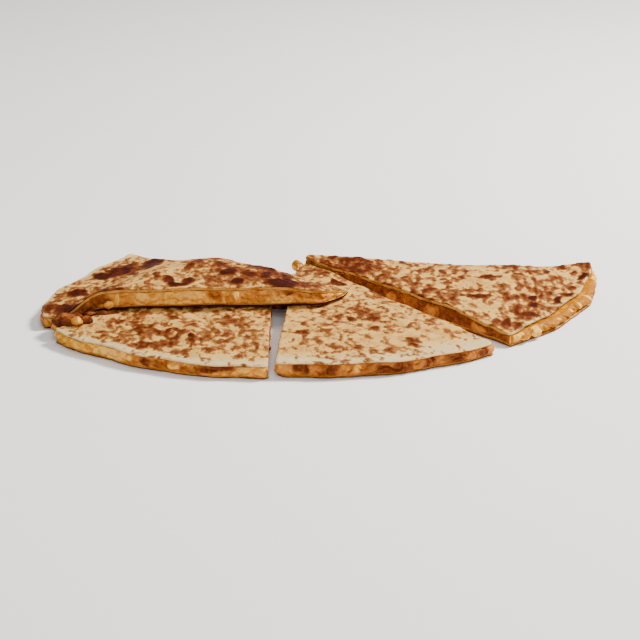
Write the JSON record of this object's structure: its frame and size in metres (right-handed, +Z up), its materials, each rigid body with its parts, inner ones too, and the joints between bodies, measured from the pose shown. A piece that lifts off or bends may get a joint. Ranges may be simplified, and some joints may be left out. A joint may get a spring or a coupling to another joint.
{
  "type": "quesadilla",
  "caption": "Toasted flour tortilla folded over melted cheese and meat filling, cut into wedge slices, with the back slice resting on its neighbours.",
  "frame": {"origin": "bottom centre of the whole quesadilla's box, on the surface it lies on", "axes": "+X along the fold of the right slice, the longest side; +Y towards the fold; +Z up"},
  "size_m": [0.2406, 0.1448, 0.0172],
  "materials": {
    "toasted_tortilla": "floury cream flour tortilla with brown toasted spots, matte with a faint oily sheen",
    "cheese_filling": "melted orange and pale cheese with brown meat bits, glossy",
    "meat_bits": "seasoned cooked meat, moist",
    "toast_crumbs": "dry toasted crumbs"
  },
  "bodies": {
    "root": {"back_left_tortilla": "toasted_tortilla", "back_left_filling": "cheese_filling", "front_left_bottom_tortilla": "toasted_tortilla", "front_left_filling": "cheese_filling", "front_left_top_tortilla": "toasted_tortilla", "front_middle_bottom_tortilla": "toasted_tortilla", "front_middle_filling": "cheese_filling", "front_middle_top_tortilla": "toasted_tortilla", "right_tortilla": "toasted_tortilla", "right_filling": "cheese_filling"}
  },
  "joints": []
}
